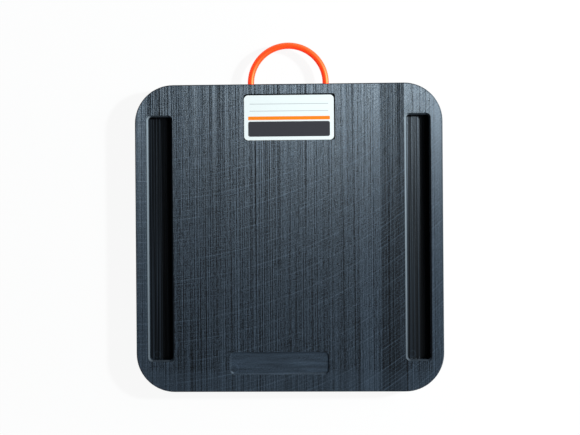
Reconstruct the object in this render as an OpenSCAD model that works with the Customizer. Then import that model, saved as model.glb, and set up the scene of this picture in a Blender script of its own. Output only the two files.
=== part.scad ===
// Outrigger pad: a square planed polyethylene slab that spreads the load of an outrigger's foot.
// Two long slots take the down-turned edges of the foot, and a cord loop in one edge carries the pad.
// The pad lies flat: the origin is the middle of its underside, +Z is up and +Y points to the handle.

/* [Slab] */
// Width of the slab, across the two slots
pad_w = 609.6; // [520:0.1:760]
// Length of the slab, along the slots
pad_l = 609.6; // [560:0.1:760]
// Thickness of the slab
pad_t = 50.8; // [44:0.1:80]
// Radius of the four corners, seen from above
corner_r = 76.2; // [40:0.1:100]
// Round-over along the outer edges of both faces
edge_r = 2; // [0.5:0.1:5]

/* [Slots] */
// Width of a slot between its upright walls
slot_w = 45.6; // [30:0.1:60]
// Length of a slot between its upright end walls
slot_l = 483.2; // [300:0.1:500]
// Depth of a slot below the top face
slot_depth = 19; // [10:0.1:24]
// Radius that the cutter leaves in a slot's corners
slot_corner_r = 6.35; // [4:0.05:12]
// Chamfer round a slot's mouth
slot_chamfer = 3.2; // [1:0.1:6]
// Land left between a slot's mouth and the side of the slab
slot_land = 23.2; // [15:0.1:40]

/* [Label plate] */
// Width of the plate
plate_w = 177.8; // [80:0.1:220]
// Height of the plate, towards the handle
plate_h = 88.9; // [40:0.1:120]
// Thickness of the plate
plate_t = 1.5; // [0.8:0.1:3]
// Radius of the plate's corners
plate_corner_r = 8; // [2:0.1:15]
// Middle of the plate, to the right of the slab's middle line
plate_x = 2; // [-30:0.1:30]
// Distance from the plate to the slab's edge at the handle
plate_margin = 22.2; // [12:0.1:40]
// How far the plate lies below the top face
plate_sunk = 1; // [0.2:0.1:3]
// Gap between the plate and its pocket on the left and at the bottom, where it was pushed home
plate_near_gap = 0.5; // [0.2:0.1:3]
// Gap between the plate and its pocket on the right and at the top
plate_far_gap = 2.8; // [0.2:0.1:5]
// Radius that the cutter leaves in the pocket's corners
plate_pocket_r = 6.35; // [2:0.05:10]

/* [Number recess] */
// Width of the shallow recess for a stamped number
recess_w = 196.8; // [80:0.1:240]
// Height of the recess
recess_h = 45; // [25:0.1:70]
// Depth of the recess
recess_depth = 1.5; // [0.5:0.1:4]
// Radius that the cutter leaves in the recess's corners
recess_corner_r = 9.5; // [3:0.1:12]
// Middle of the recess, to the right of the slab's middle line
recess_x = -20.5; // [-60:0.1:60]
// Distance from the recess to the slab's edge away from the handle
recess_margin = 34; // [15:0.1:60]

/* [Handle] */
// Diameter of the handle's cord
cord_d = 12.7; // [8:0.1:16]
// Radius of the loop, to the middle of the cord
loop_r = 74.6; // [50:0.1:100]
// Straight stretch of cord between the slab's edge and the bend
loop_stand = 3.4; // [0:0.1:30]
// Clearance all round the cord in its bore
bore_clearance = 0.3; // [0.1:0.1:1]
// Countersink at the mouth of each bore
bore_chamfer = 1.5; // [0.5:0.1:3]
// Length of each bore, from the slab's edge to its anchor pocket
bore_l = 46; // [30:0.1:80]

/* [Cord anchors] */
// Wall of the stop sleeve that is crimped on each end of the cord
sleeve_wall = 3; // [2:0.1:4.5]
// Length of the stop sleeve
sleeve_l = 30; // [20:0.1:45]
// Clearance between the sleeve and the cord inside it
sleeve_bore_gap = 0.1; // [0.05:0.05:0.3]
// Number of rings that the crimping tool presses into the sleeve
crimp_count = 3; // [1:1:4]
// Width of each crimped ring
crimp_w = 5; // [3:0.1:6]
// Depth of each crimped ring
crimp_depth = 0.9; // [0.3:0.1:1.5]
// Chamfer on the outer edges of the sleeve's ends
sleeve_chamfer = 0.6; // [0.2:0.1:1]
// Gap between the sleeve and the pocket's wall that it pulls against
sleeve_seat_gap = 0.3; // [0.1:0.1:1]
// Gap between the sleeve and the pocket's roof
sleeve_roof_gap = 3; // [1:0.1:6]
// Length of bare cord behind the sleeve
cord_tail = 4; // [1:0.1:10]
// Room behind the end of the cord
tail_room = 5; // [2:0.1:12]
// Radius that the cutter leaves in the anchor pocket's corners, which lie beside the sleeve
anchor_corner_r = 6.35; // [3:0.05:10]

/* [Hidden] */
$fn = 96;
// How far a cutter reaches past the face that it enters
over = 1;
pad_color = "#3f474f";
plate_color = "#eef2f2";
handle_color = "#ff6a1c";
sleeve_color = "#b9bdc2";
slot_x = pad_w / 2 - slot_land - slot_chamfer - slot_w / 2;
plate_y = pad_l / 2 - plate_margin - plate_h / 2;
plate_pocket_w = plate_w + plate_near_gap + plate_far_gap;
plate_pocket_h = plate_h + plate_near_gap + plate_far_gap;
plate_pocket_depth = plate_t + plate_sunk;
// The pocket's middle, which lies off the plate's middle by half the difference of the gaps
plate_shift = (plate_far_gap - plate_near_gap) / 2;
recess_y = -pad_l / 2 + recess_margin + recess_h / 2;
bore_z = pad_t / 2;
bore_d = cord_d + 2 * bore_clearance;
sleeve_r = cord_d / 2 + sleeve_bore_gap + sleeve_wall;
sleeve_front_y = pad_l / 2 - bore_l - sleeve_seat_gap;
cord_end_y = sleeve_front_y - sleeve_l - cord_tail;
anchor_w = 2 * (sleeve_r + anchor_corner_r);
anchor_l = pad_l / 2 - bore_l - cord_end_y + tail_room;
anchor_depth = bore_z + sleeve_r + sleeve_roof_gap;
anchor_y = pad_l / 2 - bore_l - anchor_l / 2;

// Copies its children to the four corner centres of a w by l rectangle, turned to face outwards
module at_corners(w, l, r) {
    for (turn = [0:3]) {
        sx = turn == 0 || turn == 3 ? 1 : -1;
        sy = turn < 2 ? 1 : -1;
        translate([sx * (w / 2 - r), sy * (l / 2 - r), 0]) rotate([0, 0, 90 * turn]) children();
    }
}

// Section of the slab, w wide, with its four edges rounded over
module slab_section(w) {
    translate([-w / 2 + edge_r, 0]) square([w - 2 * edge_r, pad_t]);
    translate([-w / 2, edge_r]) square([w, pad_t - 2 * edge_r]);
    for (x = [-1, 1], z = [edge_r, pad_t - edge_r]) translate([x * (w / 2 - edge_r), z]) circle(edge_r);
}

// The bare slab: two crossing bars of the section, and a quarter turn of it in each corner
module slab() {
    long = pad_l - 2 * corner_r;
    wide = pad_w - 2 * corner_r;
    translate([0, long / 2, 0]) rotate([90, 0, 0]) linear_extrude(long) slab_section(pad_w);
    translate([-wide / 2, 0, 0]) rotate([90, 0, 90]) linear_extrude(wide) slab_section(pad_l);
    at_corners(pad_w, pad_l, corner_r) rotate_extrude(angle = 90) intersection() {
        slab_section(2 * corner_r);
        square([corner_r, pad_t]);
    }
}

// A block with upright round corners, standing on the XY plane
module round_block(w, l, h, r) {
    translate([-w / 2 + r, -l / 2, 0]) cube([w - 2 * r, l, h]);
    translate([-w / 2, -l / 2 + r, 0]) cube([w, l - 2 * r, h]);
    at_corners(w, l, r) cylinder(h = h, r = r);
}

// Section of a cutter that flares at 45 degrees from width w to the chamfer's width and on past the face
module flare_section(w, c) {
    reach = c + over;
    polygon([[-w / 2, -c], [w / 2, -c], [w / 2 + reach, over], [-w / 2 - reach, over]]);
}

// Cutter for the chamfer round a mouth in the plane z = 0, with a cone in each corner
module mouth_chamfer(w, l, r, c) {
    long = l - 2 * r;
    wide = w - 2 * r;
    translate([0, long / 2, 0]) rotate([90, 0, 0]) linear_extrude(long) flare_section(w, c);
    translate([-wide / 2, 0, 0]) rotate([90, 0, 90]) linear_extrude(wide) flare_section(l, c);
    at_corners(w, l, r) translate([0, 0, -c]) cylinder(h = c + over, r1 = r, r2 = r + c + over);
}

// Cutter for one slot, with its floor at the slot's depth and a chamfered mouth in the top face
module slot_cutter() {
    translate([0, 0, pad_t - slot_depth]) round_block(slot_w, slot_l, slot_depth + over, slot_corner_r);
    translate([0, 0, pad_t]) mouth_chamfer(slot_w, slot_l, slot_corner_r, slot_chamfer);
}

// Cutter for one end of the handle: a countersunk bore in the edge and an anchor pocket from below
module anchor_cutter() {
    translate([0, pad_l / 2, bore_z]) rotate([90, 0, 0]) {
        translate([0, 0, -over]) cylinder(h = bore_l + 2 * over, d = bore_d);
        translate([0, 0, -over])
            cylinder(h = bore_chamfer + over, r1 = bore_d / 2 + bore_chamfer + over, r2 = bore_d / 2);
    }
    translate([0, anchor_y, -over]) round_block(anchor_w, anchor_l, anchor_depth + over, anchor_corner_r);
}

module pad() {
    color(pad_color) difference() {
        slab();
        for (x = [-slot_x, slot_x]) translate([x, 0, 0]) slot_cutter();
        translate([plate_x + plate_shift, plate_y + plate_shift, pad_t - plate_pocket_depth])
            round_block(plate_pocket_w, plate_pocket_h, plate_pocket_depth + over, plate_pocket_r);
        translate([recess_x, recess_y, pad_t - recess_depth])
            round_block(recess_w, recess_h, recess_depth + over, recess_corner_r);
        for (x = [-loop_r, loop_r]) translate([x, 0, 0]) anchor_cutter();
    }
}

module id_plate() {
    color(plate_color) translate([plate_x, plate_y, pad_t - plate_pocket_depth])
        round_block(plate_w, plate_h, plate_t, plate_corner_r);
}

// The cord is bent to a half circle outside the slab and runs straight through both bores
module handle() {
    bend_y = pad_l / 2 + loop_stand;
    color(handle_color) translate([0, 0, bore_z]) {
        translate([0, bend_y, 0]) rotate_extrude(angle = 180) translate([loop_r, 0]) circle(d = cord_d);
        for (x = [-loop_r, loop_r])
            translate([x, bend_y, 0]) rotate([90, 0, 0]) cylinder(h = bend_y - cord_end_y, d = cord_d);
    }
}

// Half section of the stop sleeve: a tube with crimped rings spread evenly along its outside
module sleeve_section() {
    inner = cord_d / 2 + sleeve_bore_gap;
    pitch = sleeve_l / crimp_count;
    flank = crimp_depth;
    rings = [
        for (i = [0:crimp_count - 1])
            let (mid = (i + 0.5) * pitch)
            each [
                [sleeve_r, mid - crimp_w / 2],
                [sleeve_r - crimp_depth, mid - crimp_w / 2 + flank],
                [sleeve_r - crimp_depth, mid + crimp_w / 2 - flank],
                [sleeve_r, mid + crimp_w / 2]
            ]
    ];
    front = [[inner, 0], [sleeve_r - sleeve_chamfer, 0], [sleeve_r, sleeve_chamfer]];
    back = [[sleeve_r, sleeve_l - sleeve_chamfer], [sleeve_r - sleeve_chamfer, sleeve_l], [inner, sleeve_l]];
    polygon(concat(front, rings, back));
}

module stop_sleeve(x) {
    color(sleeve_color) translate([x, sleeve_front_y, bore_z]) rotate([90, 0, 0])
        rotate_extrude() sleeve_section();
}

module stop_sleeve_left() stop_sleeve(-loop_r);

module stop_sleeve_right() stop_sleeve(loop_r);

pad();
id_plate();
handle();
stop_sleeve_left();
stop_sleeve_right();
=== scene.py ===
import math

import bpy
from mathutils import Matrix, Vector


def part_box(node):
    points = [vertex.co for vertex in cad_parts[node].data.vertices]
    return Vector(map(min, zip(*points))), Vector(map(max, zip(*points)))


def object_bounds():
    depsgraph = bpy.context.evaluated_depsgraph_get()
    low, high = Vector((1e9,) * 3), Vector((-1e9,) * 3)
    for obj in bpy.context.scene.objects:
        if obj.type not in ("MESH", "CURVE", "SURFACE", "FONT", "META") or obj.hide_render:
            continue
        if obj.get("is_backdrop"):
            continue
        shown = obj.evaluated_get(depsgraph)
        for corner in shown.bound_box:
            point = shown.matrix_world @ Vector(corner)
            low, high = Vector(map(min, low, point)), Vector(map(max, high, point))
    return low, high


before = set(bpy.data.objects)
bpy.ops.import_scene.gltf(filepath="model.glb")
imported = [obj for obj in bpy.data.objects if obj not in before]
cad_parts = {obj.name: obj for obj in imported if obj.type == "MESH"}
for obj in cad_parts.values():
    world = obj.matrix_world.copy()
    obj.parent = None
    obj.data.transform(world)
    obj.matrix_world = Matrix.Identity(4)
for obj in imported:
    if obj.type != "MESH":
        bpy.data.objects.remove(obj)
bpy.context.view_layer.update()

# The slab is one piece of black polyethylene, planed on both faces by a wide cutter head.
# The planer leaves straight lines along the slab and faint arcs where its knives swept past.
# The outline, the slots, the label pocket and the number recess are routed, and so smoother.
pad_low, pad_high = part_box("pad")
plate_low, plate_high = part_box("id_plate")
SLOT_DEPTH = 0.019
RECESS_DEPTH = 0.0015
SLAB_TOP = pad_high.z
SLOT_FLOOR = SLAB_TOP - SLOT_DEPTH
RECESS_FLOOR = SLAB_TOP - RECESS_DEPTH
POCKET_FLOOR = plate_low.z
BLACK_PLASTIC = (0.0118, 0.0175, 0.0255)
# Pale grey of the painted highlight on the sloping edges that face the lamps
PAINTED_HIGHLIGHT_GREY = (0.17, 0.2, 0.225, 1)
BLUE_SHEEN = (0.74, 0.87, 1.0, 1.0)
SHEEN_LEVEL = 0.096
SATIN = 0.265
DARKEST_TONE = 0.05
MARK_DEPTH = 0.0009


class Finish:
    # A shader socket that takes part in Python sums, with one method that adds any node

    def __init__(self, tree, socket=None):
        self.tree = tree
        self.socket = socket

    def node(self, kind, settings, sockets, output=0):
        made = self.tree.nodes.new("ShaderNode" + kind)
        for name, setting in settings.items():
            if name == "stops":
                ramp = made.color_ramp.elements
                while len(ramp) < len(setting):
                    ramp.new(1)
                for stop, (position, grey) in zip(ramp, setting):
                    stop.position = position
                    stop.color = (grey, grey, grey, 1)
            else:
                setattr(made, name, setting)
        for name, value in sockets.items():
            if isinstance(value, Finish):
                self.tree.links.new(value.socket, made.inputs[name])
            else:
                made.inputs[name].default_value = value
        if not made.outputs:
            return None
        return Finish(self.tree, made.outputs[output])

    def math(self, operation, *values):
        return self.node("Math", {"operation": operation}, dict(enumerate(values)))

    def __add__(self, other):
        return self.math("ADD", self, other)

    def __sub__(self, other):
        return self.math("SUBTRACT", self, other)

    def __rsub__(self, other):
        return self.math("SUBTRACT", other, self)

    def __mul__(self, other):
        return self.math("MULTIPLY", self, other)

    def __truediv__(self, other):
        return self.math("DIVIDE", self, other)

    def __rtruediv__(self, other):
        return self.math("DIVIDE", other, self)

    __radd__ = __add__
    __rmul__ = __mul__

    def unsigned(self):
        return self.math("ABSOLUTE", self)

    def fraction(self):
        return self.math("FRACT", self)

    def root(self):
        return self.math("SQRT", self)

    def larger(self, other):
        return self.math("MAXIMUM", self, other)

    def smaller(self, other):
        return self.math("MINIMUM", self, other)

    def above(self, low, high):
        # 0 below low, 1 above high, and smooth between them
        return self.node(
            "MapRange", {"interpolation_type": "SMOOTHSTEP"},
            {"Value": self, "From Min": low, "From Max": high},
        )

    def within(self, low, high, edge):
        # 1 between low and high, fading over the distance edge to either side of each
        return self.above(low - edge, low + edge) * (1 - self.above(high - edge, high + edge))

    def near(self, middle, reach, edge):
        return self.within(middle - reach, middle + reach, edge)

    def blend(self, dark, light):
        # The colour dark where this value is 0, and light where it is 1
        return self.node("Mix", {"data_type": "RGBA"}, {0: self, 6: dark, 7: light}, 2)

    def axes(self):
        return [self.node("SeparateXYZ", {}, {0: self}, axis) for axis in "XYZ"]

    def places(self):
        # The place on the piece along X, Y and Z, in metres
        return self.node("TexCoord", {}, {}, "Object").axes()

    def noise(self, x, y, z, detail=1.0):
        spot = self.node("CombineXYZ", {}, {0: x, 1: y, 2: z})
        return self.node("TexNoise", {}, {"Vector": spot, "Scale": 1.0, "Detail": detail})


def new_finish(name):
    made = bpy.data.materials.new(name)
    made.use_nodes = True
    made.node_tree.nodes.clear()
    return made, Finish(made.node_tree)


def dress(piece, finish):
    piece.data.materials.clear()
    piece.data.materials.append(finish)


polyethylene, shade = new_finish("planed_polyethylene")
x, y, z = shade.places()
facing = shade.node("NewGeometry", {}, {}, "Normal").axes()
facing_right = facing[0]
upright = facing[2]


def streaks(across, along, seed, detail=1.0):
    # Noise that changes about so many times in a metre across the slab and along it
    return shade.noise(x * across, y * along, seed, detail)


# Straight lines of the planer, which run along Y and hardly change on the way
GROOVES_PER_METRE = 833
GROOVE_WANDER = 0.5
groove_drift = streaks(across=90, along=0.6, seed=41)
grooves = 1 - (x * GROOVES_PER_METRE + GROOVE_WANDER * groove_drift).fraction()
groove_mix = streaks(across=700, along=1, seed=47) - 0.5
long_lines = streaks(across=440, along=0.4, seed=7, detail=2) - 0.5
short_lines = streaks(across=500, along=50, seed=23, detail=2) - 0.5
dark_lines = streaks(across=190, along=1.2, seed=3).above(0.57, 0.68)
broad_bands = streaks(across=45, along=1.5, seed=11) - 0.5
grain = streaks(across=600, along=420, seed=17)
speckle = grain - 0.5

# Arcs of the five knives, which swing on one radius while the slab moves along Y.
# Each knife mark is a share of the head's turn and how strong the mark is there, and the first is deepest.
ARC_RADIUS = 0.897
ARC_MIDDLE = -0.312
ARC_PITCH = 0.0404
ARC_LEVEL = 0.2
KNIFE_WIDTH = 0.03
FIRST_KNIFE_END = 0.08
LESSER_KNIVES = [0.5, 0.6, 0.45, 0.55]
knife_marks = [(0, 1), (KNIFE_WIDTH, 0.2), (FIRST_KNIFE_END, 0)]
for knife, strength in enumerate(LESSER_KNIVES, start=1):
    middle = knife / (len(LESSER_KNIVES) + 1)
    knife_marks += [(middle - KNIFE_WIDTH, 0.05), (middle, strength), (middle + KNIFE_WIDTH, 0.05)]
knife_marks += [(1 - KNIFE_WIDTH, 0.2), (1, 1)]
sweep = x - ARC_MIDDLE
travel = y + (ARC_RADIUS ** 2 - sweep * sweep).root()
knife_turn = (travel / ARC_PITCH).fraction()
arcs = shade.node("ValToRGB", {"stops": knife_marks}, {"Fac": knife_turn}) - ARC_LEVEL
patches = streaks(across=14, along=14, seed=5).above(0.3, 0.75)

# Where the surface is planed: a thin skin at each face, which fades out on the rounded edges
SKIN_FULL = 0.0001
SKIN_END = 0.0006
top_face = z.above(SLAB_TOP - SKIN_END, SLAB_TOP - SKIN_FULL)
underside = 1 - z.above(pad_low.z + SKIN_FULL, pad_low.z + SKIN_END)
planed = top_face.larger(underside)

# Where it is routed: the floors of the slots and the recess, and the label pocket with its walls
POCKET_MARGIN = 0.005
level = upright.above(0.9, 0.99)
slot_floor = level * z.near(SLOT_FLOOR, reach=0.003, edge=0.001)
lower_half = 1 - y.above(0, 0.01)
recess_floor = level * z.near(RECESS_FLOOR, reach=0.00055, edge=0.0002) * lower_half
label_pocket = z.within(POCKET_FLOOR - 0.0005, SLAB_TOP - SKIN_END, edge=0.0003)
for place, low, high in ((x, plate_low.x, plate_high.x), (y, plate_low.y, plate_high.y)):
    label_pocket = label_pocket * place.within(low - POCKET_MARGIN, high + POCKET_MARGIN, edge=0.0005)

# The sloping edges that face right are painted pale, the more so towards the handle, as a painted
# highlight of the lamps on the right
CHAMFER_UPRIGHT = 0.71
painted_edge_highlight = upright.near(CHAMFER_UPRIGHT, reach=0.09, edge=0.03) * facing_right.above(-0.15, 0.6)
painted_edge_highlight = painted_edge_highlight * (0.68 + 1.4 * y)

# A dark band with a paler one on its left, both as long as the slab, and the side and bottom rims, which
# are painted paler as painted sheen
DARK_BAND_LEFT = 0.1815
DARK_BAND_RIGHT = 0.229
BAND_EDGE = 0.0006
LIGHT_BAND_FADE = (0.125, 0.16)
SIDE_RIM_FADE = (0.279, 0.283)
LEFT_RIM_FADE = (-0.284, -0.28)
LOW_RIM_FADE = (-0.272, -0.256)
dark_band = x.within(DARK_BAND_LEFT, DARK_BAND_RIGHT, BAND_EDGE) * planed
left_of_band = 1 - x.above(DARK_BAND_LEFT - BAND_EDGE, DARK_BAND_LEFT + BAND_EDGE)
light_band = x.above(*LIGHT_BAND_FADE) * left_of_band * planed
side_rims = x.unsigned().above(*SIDE_RIM_FADE) * planed
left_rim = (1 - x.above(*LEFT_RIM_FADE)) * planed
low_rim = (1 - y.above(*LOW_RIM_FADE)) * planed
calm_rims = side_rims.larger(low_rim)

# How much paler or darker the planer's marks are, with calmer lines in the dark band and on the rims
CALM = 0.4
marks = 6.4 * long_lines + 2.6 * short_lines + broad_bands + 4.4 * speckle
marks = marks * (1 - CALM * dark_band) * (1 - CALM * calm_rims)
marks = marks - 0.55 * dark_lines * (1 - 0.5 * dark_band)
marks = marks + arcs * (0.35 + patches + (0.3 + 0.5 * patches) * dark_band)

# Tool marks of the router: lines along the slots, and two passes across the recess that meet in a ridge
RECESS_RIDGE_Y = -0.24765
slot_lines = streaks(across=330, along=1.5, seed=31, detail=2) - 0.5
recess_lines = streaks(across=16, along=170, seed=37, detail=2) - 0.5
recess_ridge = y.near(RECESS_RIDGE_Y, reach=0.00105, edge=0.0006)


def distance(off_x, off_y):
    return (off_x * off_x + off_y * off_y).root()


def wall_gap(off_x, off_y, half_x, half_y, corner):
    # How far a place lies inside a rectangle with round corners, less than 0 outside it
    past_x = off_x.unsigned() - (half_x - corner)
    past_y = off_y.unsigned() - (half_y - corner)
    inner = past_x.larger(past_y).smaller(0)
    return corner - inner - distance(past_x.larger(0), past_y.larger(0))


def plunge_ring(middle_x, middle_y, radius):
    # The ring that the cutter leaves where it is lowered into the plastic
    return distance(x - middle_x, y - middle_y).near(radius, reach=0.0011, edge=0.0008)


# The cutter's rounded nose leaves a sloping foot along the recess wall
RECESS_X = -0.0205
RECESS_Y = -0.2483
RECESS_HALF_LENGTH = 0.0984
RECESS_HALF_WIDTH = 0.0225
RECESS_CORNER = 0.0095
recess_gap = wall_gap(x - RECESS_X, y - RECESS_Y, RECESS_HALF_LENGTH, RECESS_HALF_WIDTH, RECESS_CORNER)
recess_foot = 1 - recess_gap.above(-0.001, 0.004)
left_plunge = plunge_ring(middle_x=-0.2655, middle_y=-0.2318, radius=0.006)
right_plunge = plunge_ring(middle_x=0.243, middle_y=-0.2312, radius=0.006)
recess_plunge = plunge_ring(middle_x=-0.1105, middle_y=-0.2585, radius=0.0085)

# A short slanted scratch and a pale nick, left by handling
SCRATCH_X = -0.223
SCRATCH_Y = 0.084
SCRATCH_RUN = 0.75
SCRATCH_RISE = 0.66
NICK_X = 0.1054
NICK_Y = -0.1085
scratch_x = x - SCRATCH_X
scratch_y = y - SCRATCH_Y
slant = scratch_x * SCRATCH_RUN + scratch_y * SCRATCH_RISE
aside = scratch_y * SCRATCH_RUN - scratch_x * SCRATCH_RISE
scratch = slant.near(0, reach=0.006, edge=0.002) * aside.near(0, reach=0.0009, edge=0.0005)
nick = x.near(NICK_X, reach=0.0012, edge=0.0006) * y.near(NICK_Y, reach=0.002, edge=0.001)

# Colour: the black of the plastic, scaled by all the marks, with painted sheen and painted shade added to
# it
# The slot floors carry the router's lines and rings, and are darkened throughout as painted shade
slot_tone = 4.2 * slot_lines - 0.8 + 0.4 * (left_plunge + right_plunge)
recess_tone = 2.6 * recess_lines + 4 * speckle + 0.5 + 0.6 * (recess_ridge + recess_plunge)
tone = 1 + marks * planed - 0.36 * dark_band + 0.28 * light_band
# Painted sheen: the side rims and the bottom rim are painted paler
tone = tone + 0.55 * side_rims + 0.35 * low_rim * (1 - side_rims)
tone = tone - (0.55 * scratch - 0.9 * nick) * top_face
# Painted shade: the slot floors and the label pocket round the plate are darkened
tone = tone + slot_tone * slot_floor + recess_tone * recess_floor - 0.8 * label_pocket
colour = shade.node(
    "VectorMath", {"operation": "SCALE"}, {0: BLACK_PLASTIC, "Scale": tone.larger(DARKEST_TONE)}
)
# The sloping edges that face right get their painted highlight
colour = painted_edge_highlight.blend(colour, PAINTED_HIGHLIGHT_GREY)

# Gloss: satin, a little uneven where it is planed, and duller in the pocket and at the recess's foot
roughness = SATIN + 0.03 * marks * planed + 0.5 * label_pocket + 0.2 * recess_foot * recess_floor
roughness = roughness.larger(0.2).smaller(0.6)

# Relief: grooves with one steep side, which catch the light from the right, as shares of MARK_DEPTH
groove_swing = 0.32 * groove_mix + 0.2 * speckle - 0.08 * dark_lines
groove_swing = groove_swing + 0.34 * long_lines + 0.16 * short_lines
groove_depth = 0.59 - 0.07 * x + groove_swing * (1 - CALM * calm_rims)
groove_depth = groove_depth * (1 - 0.2 * dark_band) * (1 + 0.09 * left_rim)
planed_relief = grooves * groove_depth + arcs * (0.08 + 0.05 * dark_band) + 0.05 * grain
routed_relief = 0.12 * shade.noise(x * 420, y * 420, z * 12)
slot_relief = 0.15 * slot_lines + grooves * (0.44 + 0.45 * slot_lines)
recess_relief = 0.5 * grooves + 0.3 * recess_lines + 1.7 * recess_foot
relief = planed_relief * planed + routed_relief * (1 - planed)
relief = relief + slot_relief * slot_floor + recess_relief * recess_floor
normal = shade.node("Bump", {}, {"Strength": 1.0, "Distance": MARK_DEPTH, "Height": relief})
surface = shade.node(
    "BsdfPrincipled", {},
    {
        "Base Color": colour, "Roughness": roughness, "Normal": normal,
        "Specular IOR Level": SHEEN_LEVEL, "Specular Tint": BLUE_SHEEN,
    },
)
shade.node("OutputMaterial", {}, {"Surface": surface})
dress(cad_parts["pad"], polyethylene)

# The handle is a length of extruded urethane cord, bent to a half loop and pushed into two bores.
# It is dyed a bright orange all through, and a red glow is painted over it, which stands for light passing
# inside it and keeps its shaded side red.
ORANGE = (0.9, 0.05, 0.003, 1)
PALE_ORANGE = (0.95, 0.065, 0.004, 1)
YELLOW_SHEEN = (1.0, 0.75, 0.3, 1.0)
# Colour of the painted glow over the whole cord
PAINTED_RED_GLOW = (1.0, 0.003, 0.0, 1)
urethane, shade = new_finish("orange_cord")
x, y, z = shade.places()


def mottle(per_metre, detail=1.0):
    # Noise that changes alike in every direction
    return shade.noise(x * per_metre, y * per_metre, z * per_metre, detail)


rubbed = mottle(250, detail=2)
colour = mottle(60).blend(ORANGE, PALE_ORANGE)
normal = shade.node("Bump", {}, {"Strength": 0.1, "Distance": 0.00005, "Height": rubbed})
surface = shade.node(
    "BsdfPrincipled", {},
    {
        "Base Color": colour, "Roughness": 0.46 + 0.06 * rubbed, "Normal": normal, "IOR": 1.6,
        "Specular IOR Level": 1.0, "Specular Tint": YELLOW_SHEEN,
        "Emission Color": PAINTED_RED_GLOW, "Emission Strength": 0.6,
    },
)
shade.node("OutputMaterial", {}, {"Surface": surface})
# The painted red glow stands for light inside the cord, so it is kept out of lamp sampling
urethane.cycles.emission_sampling = "NONE"
dress(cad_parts["handle"], urethane)

# The stop sleeves are short aluminium tubes, pushed on the cord's ends and crimped with three rings.
# They are turned from bar, so fine rings run round them, and handling leaves duller and paler spots.
DULL_ALUMINIUM = (0.6, 0.61, 0.62, 1)
BRIGHT_ALUMINIUM = (0.82, 0.83, 0.84, 1)
aluminium, shade = new_finish("crimped_sleeve")
x, y, z = shade.places()
turned = shade.noise(x * 15, y * 2600, z * 15)
handled = mottle(160, detail=3)
colour = handled.blend(DULL_ALUMINIUM, BRIGHT_ALUMINIUM)
normal = shade.node("Bump", {}, {"Strength": 0.5, "Distance": 0.0001, "Height": turned})
surface = shade.node(
    "BsdfPrincipled", {},
    {"Base Color": colour, "Metallic": 1.0, "Roughness": 0.25 + 0.25 * handled, "Normal": normal},
)
shade.node("OutputMaterial", {}, {"Surface": surface})
for side in ("left", "right"):
    dress(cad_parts["stop_sleeve_" + side], aluminium)

# The label plate is a thin white plastic plate, pushed into its pocket against the left and lower wall.
# Its print is plain: a charcoal band, an orange stripe and ruled lines, under a satin film.
WHITE_PLASTIC = (0.87, 0.92, 0.92, 1)
PALE_PLASTIC = (0.9, 0.95, 0.95, 1)
RULE_GREY = (0.5, 0.52, 0.54, 1)
STRIPE_ORANGE = (1.0, 0.24, 0.01, 1)
BAND_CHARCOAL = (0.035, 0.035, 0.042, 1)
PRINT_HALF_LENGTH = 0.081
PRINT_EDGE = 0.0002
RULE_HALF_LENGTH = 0.078
RULE_WIDTH = 0.0012
label, shade = new_finish("label_plate")
x, y, z = shade.places()
plate_middle = (plate_low + plate_high) / 2
across = x - plate_middle.x
upward = y - plate_middle.y


def printed_bar(half_length, low, high, corner):
    # 1 inside a bar with round corners that lies across the plate, 0 outside it
    gap = wall_gap(across, upward - (low + high) / 2, half_length, (high - low) / 2, corner)
    return gap.above(-PRINT_EDGE, PRINT_EDGE)


band = printed_bar(PRINT_HALF_LENGTH, low=-0.0375, high=-0.0075, corner=0.004)
stripe = printed_bar(PRINT_HALF_LENGTH, low=-0.0045, high=0.0025, corner=0.0012)
rules = 0
for rule_low in (0.0125, 0.0265):
    rules = rules + printed_bar(RULE_HALF_LENGTH, rule_low, rule_low + RULE_WIDTH, corner=0.0004)
film = mottle(900, detail=2)
colour = film.blend(WHITE_PLASTIC, PALE_PLASTIC)
colour = rules.blend(colour, RULE_GREY)
colour = stripe.blend(colour, STRIPE_ORANGE)
colour = band.blend(colour, BAND_CHARCOAL)
normal = shade.node("Bump", {}, {"Strength": 0.3, "Distance": 0.00005, "Height": film})
surface = shade.node(
    "BsdfPrincipled", {}, {"Base Color": colour, "Roughness": 0.3 + 0.1 * film, "Normal": normal}
)
shade.node("OutputMaterial", {}, {"Surface": surface})
dress(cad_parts["id_plate"], label)

# The studio floor is a wide sheet of matt white paper, which the slab lies on.
# It shows nearly white to the camera and in reflections, and still takes the object's shadow.
FLOOR_SIZE = 60
FLOOR_DROP = 0.0004
PAPER_SHOWN = 0.93
PAPER_WHITE = (0.9, 0.9, 0.9, 1)
WHITE = (1, 1, 1, 1)
bpy.ops.object.select_all(action="DESELECT")
bpy.ops.mesh.primitive_plane_add(size=FLOOR_SIZE, location=(0, 0, -FLOOR_DROP))
floor = bpy.context.object
floor.name = "studio_floor"
floor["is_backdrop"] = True


def background_rays(finish):
    # 1 for a ray that goes straight to the camera, is mirrored or passes through glass
    seen = finish.node("LightPath", {}, {}, "Is Camera Ray")
    for ray in ("Is Glossy Ray", "Is Transmission Ray"):
        seen = seen.larger(finish.node("LightPath", {}, {}, ray))
    return seen


paper, shade = new_finish("white_floor")
matt = shade.node("BsdfDiffuse", {}, {"Color": PAPER_WHITE})
white = shade.node("Emission", {}, {"Color": WHITE, "Strength": 1.0})
surface = shade.node("MixShader", {}, {0: background_rays(shade) * PAPER_SHOWN, 1: matt, 2: white})
shade.node("OutputMaterial", {}, {"Surface": surface})
paper.cycles.emission_sampling = "NONE"
dress(floor, paper)

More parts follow.
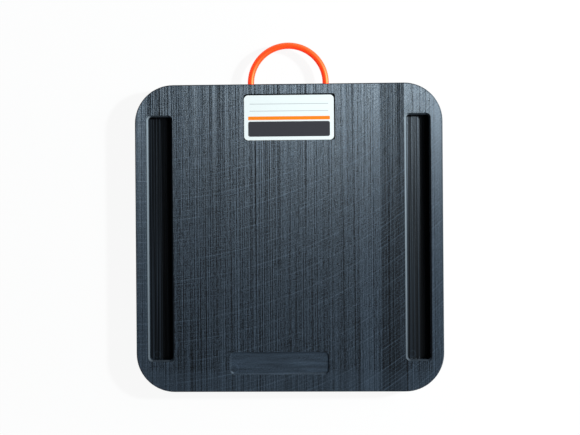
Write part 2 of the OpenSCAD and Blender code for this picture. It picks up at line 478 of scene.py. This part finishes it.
# The black flag is a square of cloth that hangs over the camera, as used for dark plastic.
# It keeps the white sky out of the slots, so that their shadows stay dark.
FLAG_SIZE = 2.6
FLAG_PLACE = (0.15, 0, 3.4)
CLOTH_BLACK = (0.01, 0.01, 0.01, 1)
bpy.ops.mesh.primitive_plane_add(size=FLAG_SIZE, location=FLAG_PLACE)
flag = bpy.context.object
flag.name = "black_flag"
flag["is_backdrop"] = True
cloth, shade = new_finish("black_cloth")
matt = shade.node("BsdfDiffuse", {}, {"Color": CLOTH_BLACK})
shade.node("OutputMaterial", {}, {"Surface": matt})
dress(flag, cloth)

# The lamps are a key lamp high on the right with a soft one nearer the slab, which light the grooves,
# and two long strips low on the right and behind the handle, which light the edges.
LAMP_AIM = Vector((0, 0, 0.05))
COOL_WHITE = (0.93, 0.99, 1.0)
SKY_WHITE = (0.85, 0.95, 1.0)


def add_lamp(name, place, width, height, watts, colour):
    bpy.ops.object.light_add(type="AREA", location=place)
    lamp = bpy.context.object
    lamp.name = name
    lamp.rotation_euler = (Vector(place) - LAMP_AIM).to_track_quat("Z", "Y").to_euler()
    lamp.data.shape = "RECTANGLE"
    lamp.data.size = width
    lamp.data.size_y = height
    lamp.data.energy = watts
    lamp.data.color = colour


add_lamp("key_lamp", (4.0, 0.98, 3.25), width=0.35, height=0.35, watts=388, colour=COOL_WHITE)
add_lamp("soft_lamp", (1.45, 0.42, 0.98), width=0.3, height=0.3, watts=5.6, colour=COOL_WHITE)
add_lamp("low_strip", (2.0, 0.0, 0.3), width=3.0, height=0.5, watts=24, colour=SKY_WHITE)
add_lamp("back_strip", (0.2, 2.2, 0.35), width=2.0, height=0.5, watts=8.4, colour=COOL_WHITE)

# The air round the studio is white to the camera and in reflections, and otherwise gives hardly any light.
# The camera hangs nearly over the slab's middle and looks down on it, as in the photograph.
DIM_AIR = (0.02, 0.02, 0.02, 1)
CAMERA_PLACE = (0.1374, 0.0462, 3.0)
CAMERA_TURN_DEGREES = (-0.136, 2.615, -0.435)
CAMERA_SENSOR_MM = 36
CAMERA_LENS_MM = 92.63
world = bpy.data.worlds.new("studio")
bpy.context.scene.world = world
world.use_nodes = True
world.node_tree.nodes.clear()
air = Finish(world.node_tree)
air_colour = background_rays(air).blend(DIM_AIR, WHITE)
background = air.node("Background", {}, {"Color": air_colour, "Strength": 1.0})
air.node("OutputWorld", {}, {"Surface": background})

bpy.ops.object.camera_add(
    location=CAMERA_PLACE,
    rotation=[math.radians(degrees) for degrees in CAMERA_TURN_DEGREES],
)
camera = bpy.context.object
camera.name = "photo_camera"
camera.data.sensor_width = CAMERA_SENSOR_MM
camera.data.lens = CAMERA_LENS_MM
bpy.context.scene.camera = camera
bpy.context.scene.view_settings.view_transform = "Standard"

low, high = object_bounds()
